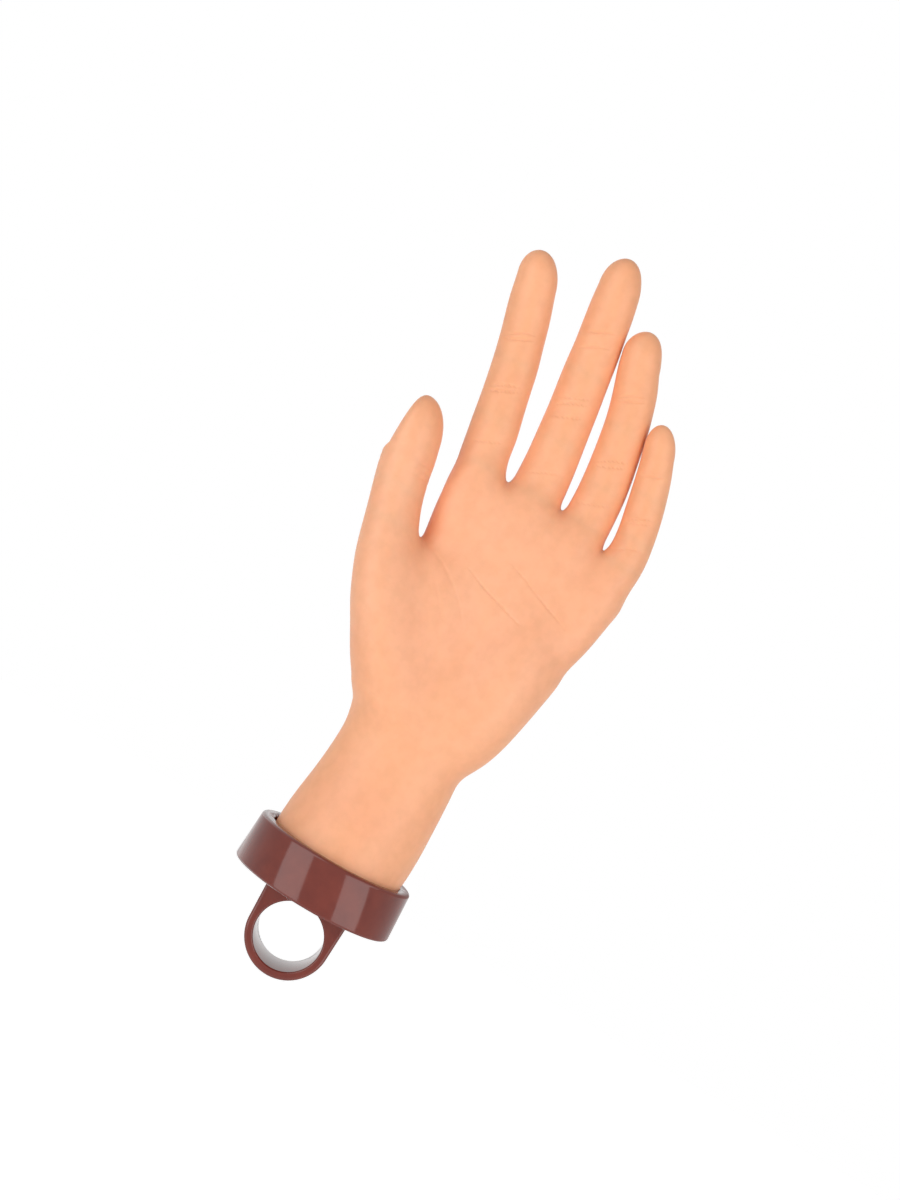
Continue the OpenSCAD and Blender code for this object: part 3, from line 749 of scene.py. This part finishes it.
def makeVinyl(size):
    made, nodes, links, shader = newMaterial("softVinyl")
    place = addNode(nodes, "ShaderNodeTexCoord")
    height = addNode(nodes, "ShaderNodeSeparateXYZ")
    links.new(place.outputs["Object"], height.inputs[0])
    patches = addNode(nodes, "ShaderNodeTexNoise", Scale=size["patches"], Detail=3)
    links.new(place.outputs["Object"], patches.inputs["Vector"])
    bands = []
    for light, deep in (("heel", "palmDeep"), ("palm", "palmDeep"), ("finger", "fingerDeep")):
        ramp = addNode(nodes, "ShaderNodeValToRGB")
        fillRamp(ramp, fromScreen(*size[deep]), fromScreen(*size[light]), size["patchEdge"])
        links.new(patches.outputs["Fac"], ramp.inputs[0])
        bands.append(ramp.outputs[0])
    colour = bands[0]
    for band, (low, high) in zip(bands[1:], (size["toPalm"], size["toFinger"])):
        share = addNode(nodes, "ShaderNodeMapRange", interpolation_type="SMOOTHSTEP")
        share.inputs["From Min"].default_value, share.inputs["From Max"].default_value = low, high
        links.new(height.outputs["Z"], share.inputs["Value"])
        colour = mixColours(nodes, links, share.outputs[0], colour, band)
    fine = addNode(nodes, "ShaderNodeTexNoise", Scale=size["fine"], Detail=4)
    links.new(place.outputs["Object"], fine.inputs["Vector"])
    speck = addNode(nodes, "ShaderNodeValToRGB")
    fillRamp(speck, size["speck"], (1, 1, 1, 1), size["speckEdge"])
    links.new(fine.outputs["Fac"], speck.inputs[0])
    tint = mixColours(nodes, links, 1, colour, speck.outputs[0], "MULTIPLY")
    links.new(tint, shader.inputs["Base Color"])
    addRoughness(nodes, links, shader, fine.outputs["Fac"], size["roughness"])
    pores = addNode(nodes, "ShaderNodeTexNoise", Scale=size["pores"], Detail=2)
    links.new(place.outputs["Object"], pores.inputs["Vector"])
    addBump(nodes, links, shader, pores.outputs["Fac"], size["poreDepth"], size["poreSize"])
    shader.inputs["Subsurface Weight"].default_value = size["glow"]
    shader.inputs["Subsurface Radius"].default_value = size["glowColour"]
    shader.inputs["Subsurface Scale"].default_value = size["glowDepth"]
    shader.inputs["Specular IOR Level"].default_value = size["gloss"]
    return made


hardFinishes = {
    "collarBrown": {
        "light": (116, 47, 35), "deep": (106, 41, 31), "scale": 160, "stretch": (1, 1, 1),
        "roughness": (0.08, 0.13), "metallic": 0, "depth": 0.012, "gloss": 0.38,
    },
    "nylon": {
        "light": (236, 232, 218), "deep": (222, 217, 200), "scale": 120, "stretch": (1, 1, 1),
        "roughness": (0.42, 0.58), "metallic": 0, "depth": 0.06, "gloss": 0.5,
    },
    "steel": {
        "light": (196, 198, 202), "deep": (158, 160, 166), "scale": 500, "stretch": (1, 1, 0.2),
        "roughness": (0.22, 0.38), "metallic": 1, "depth": 0.08, "gloss": 0.5,
    },
}


hardGrain = {"edge": (0.35, 0.68), "finer": 6, "size": 0.0004}


def makeHard(name):
    size = hardFinishes[name]
    made, nodes, links, shader = newMaterial(name)
    place = addNode(nodes, "ShaderNodeTexCoord")
    turned = addNode(nodes, "ShaderNodeMapping")
    turned.inputs["Scale"].default_value = size["stretch"]
    links.new(place.outputs["Object"], turned.inputs["Vector"])
    grain = addNode(nodes, "ShaderNodeTexNoise", Scale=size["scale"], Detail=4)
    links.new(turned.outputs[0], grain.inputs["Vector"])
    ramp = addNode(nodes, "ShaderNodeValToRGB")
    fillRamp(ramp, fromScreen(*size["deep"]), fromScreen(*size["light"]), hardGrain["edge"])
    links.new(grain.outputs["Fac"], ramp.inputs[0])
    links.new(ramp.outputs[0], shader.inputs["Base Color"])
    addRoughness(nodes, links, shader, grain.outputs["Fac"], size["roughness"])
    fine = addNode(nodes, "ShaderNodeTexNoise", Scale=size["scale"] * hardGrain["finer"], Detail=2)
    links.new(turned.outputs[0], fine.inputs["Vector"])
    addBump(nodes, links, shader, fine.outputs["Fac"], size["depth"], hardGrain["size"])
    shader.inputs["Metallic"].default_value = size["metallic"]
    shader.inputs["Specular IOR Level"].default_value = size["gloss"]
    return made


softVinyl = makeVinyl(vinyl)
collarBrown = makeHard("collarBrown")
nylon = makeHard("nylon")
steel = makeHard("steel")
for name, node in frame["nodes"].items():
    made = steel if name.endswith("_pin") or name in ("knuckle_pins", "core_bolt", "collar_screws") else nylon
    node.data.materials.clear()
    node.data.materials.append(made)
print("materials made")


def layerSkin():
    bottom = grid["low"][2]
    upper = bottom + math.floor((grid["upper"] - bottom) / (grid["step"] * grid["coarse"])) \
        * grid["step"] * grid["coarse"]
    groups = [(("index", "ring"), bottom), (("middle", "pinky"), upper)]
    pieces = {}
    for group, lowest in groups:
        field, low, step = latticeValues(group, lowest)
        points, faces = netSurface(field, low, step)
        labels, order = sortFaces(points[faces].mean(1))
        wanted = [n for n, (limb, _) in order.items() if limb in group]
        if lowest == bottom:
            wanted += [0] + [n for n, (limb, _) in order.items() if limb == "thumb"]
        kept = np.isin(labels, wanted)
        used, faces = np.unique(faces[kept], return_inverse=True)
        faces, labels = faces.reshape(-1, 4), labels[kept]
        points, normals = settle(points[used], group)
        for n in wanted:
            label = order[n] if n else ("palm", 0)
            mine = faces[labels == n]
            if n and label[1] == len(limbs[label[0]]["seams"]) - 1:
                finer, quads = splitQuads(points, mine)
                near = np.unique(quads)
                finer, quads = finer[near], np.searchsorted(near, quads)
                finer, finerNormals = settle(finer, group, 1)
                pieces[label] = (finer, finerNormals, quads)
            else:
                pieces[label] = (points, normals, mine)
    return pieces


bones = {"index": ["proximal", "middle", "distal"], "thumb": ["proximal", "distal"]}
places = {3: ["Root", "Middle", "Tip"], 2: ["Root", "Tip"]}
for (limb, k), (points, normals, faces) in layerSkin().items():
    if limb == "palm":
        piece = skinPiece("palmSkin", points, normals, faces, softVinyl)
        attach(piece, "palm")
        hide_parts("skin_palm", "skin_thumb_base", "skin_wrist")
    else:
        names = bones.get(limb, bones["index"])
        piece = skinPiece(limb + places[len(names)][k] + "Skin", points, normals, faces, softVinyl)
        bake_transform(piece)
        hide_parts(limb + "_" + names[k] + "_skin")
print("soft skin made")


def newTree(name, inputs):
    tree = bpy.data.node_groups.new(name, "GeometryNodeTree")
    tree.interface.new_socket("Geometry", in_out="INPUT", socket_type="NodeSocketGeometry")
    for label, value in inputs.items():
        kind = "NodeSocketInt" if isinstance(value, int) else "NodeSocketFloat"
        if label == "Material":
            kind = "NodeSocketMaterial"
        socket = tree.interface.new_socket(label, in_out="INPUT", socket_type=kind)
        socket.default_value = value
    tree.interface.new_socket("Geometry", in_out="OUTPUT", socket_type="NodeSocketGeometry")
    return tree, tree.nodes.new("NodeGroupInput"), tree.nodes.new("NodeGroupOutput")


def treeNode(tree, kind, settings=None, **wires):
    made = tree.nodes.new(kind)
    for key, value in (settings or {}).items():
        setattr(made, key, value)
    for key, value in wires.items():
        if key[0] == "i" and key[1:].isdigit():  # i0 and i1 are sockets that share one name
            socket = made.inputs[int(key[1:])]
        else:
            socket = made.inputs[key.replace("_", " ")]
        if hasattr(value, "is_linked"):
            tree.links.new(value, socket)
        else:
            socket.default_value = value
    return made


def treeMath(tree, kind, a, b):
    return treeNode(tree, "ShaderNodeMath", {"operation": kind}, i0=a, i1=b).outputs[0]


def treePoint(tree, **wires):
    return treeNode(tree, "ShaderNodeCombineXYZ", **wires).outputs[0]


def treeMoved(tree, geometry, point):
    made = treeNode(tree, "GeometryNodeTransform", Geometry=geometry, Translation=point)
    return made.outputs[0]


def treeBoolean(tree, kind, wires):
    made = tree.nodes.new("GeometryNodeMeshBoolean")
    made.operation = kind
    for geometry, number in wires:
        tree.links.new(geometry, made.inputs[number])
    return made.outputs[0]


def treePair(tree, shape, place, height):
    start = treePoint(tree, X=treeMath(tree, "MULTIPLY", place, -1.0), Z=height)
    gap = treePoint(tree, X=treeMath(tree, "MULTIPLY", place, 2.0))
    spots = treeNode(tree, "GeometryNodeMeshLine", Count=2, Start_Location=start, Offset=gap)
    both = treeNode(tree, "GeometryNodeInstanceOnPoints", Points=spots.outputs[0], Instance=shape)
    return treeNode(tree, "GeometryNodeRealizeInstances", Geometry=both.outputs[0]).outputs[0]


def endTree(tree, geometry, material, result):
    whole = treeNode(tree, "GeometryNodeRealizeInstances", Geometry=geometry)
    coat = treeNode(tree, "GeometryNodeSetMaterial", Geometry=whole.outputs[0], Material=material)
    tree.links.new(coat.outputs[0], result.inputs[0])


def bakeTree(name, tree, values):
    seed = bpy.data.meshes.new(name)
    made = bpy.data.objects.new(name, seed)
    scene.collection.objects.link(made)
    modifier = made.modifiers.new("shape", "NODES")
    modifier.node_group = tree
    for item in tree.interface.items_tree:
        if item.in_out == "INPUT" and item.name in values:
            modifier[item.identifier] = values[item.name]
    graph = bpy.context.evaluated_depsgraph_get()
    mesh = bpy.data.meshes.new_from_object(made.evaluated_get(graph))
    made.modifiers.remove(modifier)
    made.data = mesh
    mesh.name = name
    return made


def finishEdges(made, width, segments, angle=40):
    bevel = made.modifiers.new("edges", "BEVEL")
    bevel.width, bevel.segments = width, segments
    bevel.limit_method, bevel.angle_limit = "ANGLE", math.radians(angle)
    bevel.harden_normals = True
    graph = bpy.context.evaluated_depsgraph_get()
    mesh = bpy.data.meshes.new_from_object(made.evaluated_get(graph))
    made.modifiers.clear()
    made.data = mesh
    for polygon in mesh.polygons:
        polygon.use_smooth = True
    mesh.set_sharp_from_angle(angle=math.radians(angle))


collar = {
    "Rim Radius": 0.029, "Base Radius": 0.03, "Height": 0.0175, "Bottom": 0.014, "Inner Radius": 0.0245,
    "Floor": 0.004, "Sides": 192, "Screw Place": 0.01875, "Pocket Radius": 0.0032, "Pocket Depth": 0.002,
}


facets = {"pocket": 48, "head": 64, "shank": 48}


def collarTree(values):
    tree, given, result = newTree("collarCup", {**values, "Material": None})
    size = given.outputs
    outer = treeNode(tree, "GeometryNodeMeshCone", Vertices=size["Sides"], Radius_Top=size["Rim Radius"],
                     Radius_Bottom=size["Base Radius"], Depth=size["Height"])
    outer = treeMoved(tree, outer.outputs["Mesh"], treePoint(tree, X=0.0, Z=size["Bottom"]))
    room = treeNode(tree, "GeometryNodeMeshCylinder", Vertices=size["Sides"], Radius=size["Inner Radius"],
                    Depth=size["Height"])
    floor = treeMath(tree, "ADD", size["Floor"], treeMath(tree, "MULTIPLY", size["Height"], 0.5))
    lift = treePoint(tree, X=0.0, Z=treeMath(tree, "ADD", size["Bottom"], floor))
    room = treeMoved(tree, room.outputs["Mesh"], lift)
    deep = treeMath(tree, "MULTIPLY", size["Pocket Depth"], 2.0)
    pocket = treeNode(tree, "GeometryNodeMeshCylinder", Vertices=facets["pocket"],
                      Radius=size["Pocket Radius"], Depth=deep)
    pockets = treePair(tree, pocket.outputs["Mesh"], size["Screw Place"], size["Bottom"])
    cutters = treeNode(tree, "GeometryNodeJoinGeometry")
    tree.links.new(room, cutters.inputs[0])
    tree.links.new(pockets, cutters.inputs[0])
    cup = treeBoolean(tree, "DIFFERENCE", [(outer, 0), (cutters.outputs[0], 1)])
    endTree(tree, cup, size["Material"], result)
    return tree


cup = bakeTree("collarCup", collarTree(collar), {**collar, "Material": collarBrown})
finishEdges(cup, width=0.0011, segments=4)
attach(cup, "palm")
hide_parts("wrist_collar")

screws = {
    "Place": 0.01875, "Low": 0.0142, "Head": 0.0017, "Head Radius": 0.0029, "Crown Radius": 0.0021,
    "Shank": 0.0105, "Shank Radius": 0.0015, "Sunk": 0.0002,
    "Slot Width": 0.00075, "Slot Length": 0.0036, "Slot Depth": 0.0009,
}


def screwTree(values):
    tree, given, result = newTree("collarScrews", {**values, "Material": None})
    size = given.outputs
    head = treeNode(tree, "GeometryNodeMeshCone", Vertices=facets["head"], Radius_Top=size["Head Radius"],
                    Radius_Bottom=size["Crown Radius"], Depth=size["Head"])
    cut = head.outputs["Mesh"]
    deep = treeMath(tree, "MULTIPLY", size["Slot Depth"], 2.0)
    for x, y in (("Slot Length", "Slot Width"), ("Slot Width", "Slot Length")):
        box = treeNode(tree, "GeometryNodeMeshCube", Size=treePoint(tree, X=size[x], Y=size[y], Z=deep))
        cut = treeBoolean(tree, "DIFFERENCE", [(cut, 0), (box.outputs["Mesh"], 1)])
    shank = treeNode(tree, "GeometryNodeMeshCylinder", Vertices=facets["shank"],
                     Radius=size["Shank Radius"], Depth=size["Shank"])
    middle = treeMath(tree, "ADD", size["Head"], treeMath(tree, "MULTIPLY", size["Shank"], 0.5))
    lift = treePoint(tree, Z=treeMath(tree, "SUBTRACT", middle, size["Sunk"]))
    shank = treeMoved(tree, shank.outputs["Mesh"], lift)
    whole = treeBoolean(tree, "UNION", [(cut, 1), (shank, 1)])
    endTree(tree, treePair(tree, whole, size["Place"], size["Low"]), size["Material"], result)
    return tree


heads = bakeTree("collarScrews", screwTree(screws), {**screws, "Material": steel})
finishEdges(heads, width=0.00015, segments=2)
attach(heads, "palm")
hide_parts("collar_screws")

eye = {
    "bore": 12, "outer": 15, "flare": 0.6, "top": 14.6, "width": 22, "outerEdge": 1.1, "boreEdge": 0.7,
    "steps": 160, "rounding": 5, "sharp": 38,
}


def makeEye(size):
    half = size["width"] / 2
    rings = []
    for i in range(size["steps"]):
        angle = 2 * math.pi * i / size["steps"]
        x, z = math.cos(angle), math.sin(angle)
        outer = size["outer"]
        if z > 0:  # above the bore the sides run straight up into the collar
            slope = size["flare"] / size["top"]
            side = size["outer"] / max(abs(x) - slope * z, 1e-6)
            outer = min(side, size["top"] / z)
        section = []
        for radius, rim, turn in ((size["bore"], size["boreEdge"], 1), (outer, size["outerEdge"], -1)):
            for k in range(size["rounding"] + 1):
                a = math.pi / 2 * k / size["rounding"]
                if turn < 0:
                    a = math.pi / 2 - a
                section.append((radius + turn * rim * (1 - math.cos(a)), half - rim * (1 - math.sin(a))))
        section += [(radius, -y) for radius, y in reversed(section)]
        rings.append([(radius * x, y, radius * z) for radius, y in section])
    shape = bmesh.new()
    verts = [[shape.verts.new(Vector(p) * mm) for p in ring] for ring in rings]
    for a, b in zip(verts, verts[1:] + verts[:1]):
        for i in range(len(a)):
            j = (i + 1) % len(a)
            shape.faces.new((a[i], a[j], b[j], b[i]))
    bmesh.ops.recalc_face_normals(shape, faces=shape.faces)
    mesh = bpy.data.meshes.new("ringEye")
    shape.to_mesh(mesh)
    shape.free()
    for polygon in mesh.polygons:
        polygon.use_smooth = True
    mesh.set_sharp_from_angle(angle=math.radians(size["sharp"]))
    mesh.materials.append(collarBrown)
    made = bpy.data.objects.new("ringEye", mesh)
    scene.collection.objects.link(made)
    return made


ring = makeEye(eye)
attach(ring, "palm")
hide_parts("wrist_collar")
print("collar, screws and ring eye made")

stage = {
    "floor": -0.30, "floorShade": 0.86, "floorRough": 0.8, "floorGlow": 0.66, "reach": 2.2,
    "around": 0.34, "boxHeight": 1.0, "boxPlace": 0.8, "boxLift": 0.12,
    "boxes": [
        # degrees round from the front, width, watts, whether gloss mirrors it
        (-44, 0.55, 4.3, True), (44, 0.55, 4.3, True), (180, 0.45, 3.2, False),
    ],
}


def backdropRays(nodes, links):
    seen = addNode(nodes, "ShaderNodeLightPath")
    first = addNode(nodes, "ShaderNodeMath", operation="MAXIMUM")
    second = addNode(nodes, "ShaderNodeMath", operation="MAXIMUM")
    links.new(seen.outputs["Is Camera Ray"], first.inputs[0])
    links.new(seen.outputs["Is Glossy Ray"], first.inputs[1])
    links.new(first.outputs[0], second.inputs[0])
    links.new(seen.outputs["Is Transmission Ray"], second.inputs[1])
    return second.outputs[0]


def makeStage(size):
    shape = bmesh.new()
    bmesh.ops.create_grid(shape, x_segments=1, y_segments=1, size=size["reach"])
    mesh = bpy.data.meshes.new("floor")
    shape.to_mesh(mesh)
    shape.free()
    mesh.transform(Matrix.Translation((0, 0, size["floor"])))
    made, nodes, links, shader = newMaterial("paleFloor")
    shader.inputs["Base Color"].default_value = (*[size["floorShade"]] * 3, 1)
    shader.inputs["Roughness"].default_value = size["floorRough"]
    shader.inputs["Emission Color"].default_value = (1, 1, 1, 1)
    level = addNode(nodes, "ShaderNodeMath", operation="MULTIPLY")
    level.inputs[1].default_value = size["floorGlow"]
    links.new(backdropRays(nodes, links), level.inputs[0])
    links.new(level.outputs[0], shader.inputs["Emission Strength"])
    mesh.materials.append(made)
    floor = bpy.data.objects.new("floor", mesh)
    scene.collection.objects.link(floor)
    floor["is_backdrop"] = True
    for angle, width, watts, mirrored in size["boxes"]:
        data = bpy.data.lights.new("softbox", "AREA")
        data.shape, data.size, data.size_y = "RECTANGLE", width, size["boxHeight"]
        data.energy = watts
        lamp = bpy.data.objects.new("softbox", data)
        turn = math.radians(angle)
        place = Vector((math.sin(turn), -math.cos(turn), 0)) * size["boxPlace"]
        lamp.location = place + Vector((0, 0, size["boxLift"]))
        lamp.rotation_euler = (-place).to_track_quat("-Z", "Y").to_euler()
        lamp.visible_camera = False
        lamp.visible_glossy = mirrored
        scene.collection.objects.link(lamp)
    world = bpy.data.worlds.new("studio")
    scene.world = world
    world.use_nodes = True
    nodes, links = world.node_tree.nodes, world.node_tree.links
    shade = nodes["Background"]
    shade.inputs["Color"].default_value = (1, 1, 1, 1)
    shade.inputs["Strength"].default_value = size["around"]
    white = addNode(nodes, "ShaderNodeBackground", Strength=1.0)
    white.inputs["Color"].default_value = (1, 1, 1, 1)
    mix = addNode(nodes, "ShaderNodeMixShader")
    links.new(backdropRays(nodes, links), mix.inputs[0])
    links.new(shade.outputs[0], mix.inputs[1])
    links.new(white.outputs[0], mix.inputs[2])
    links.new(mix.outputs[0], nodes["World Output"].inputs["Surface"])


makeStage(stage)
scene.view_settings.view_transform = "Standard"
print("floor and lamps made")

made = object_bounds()
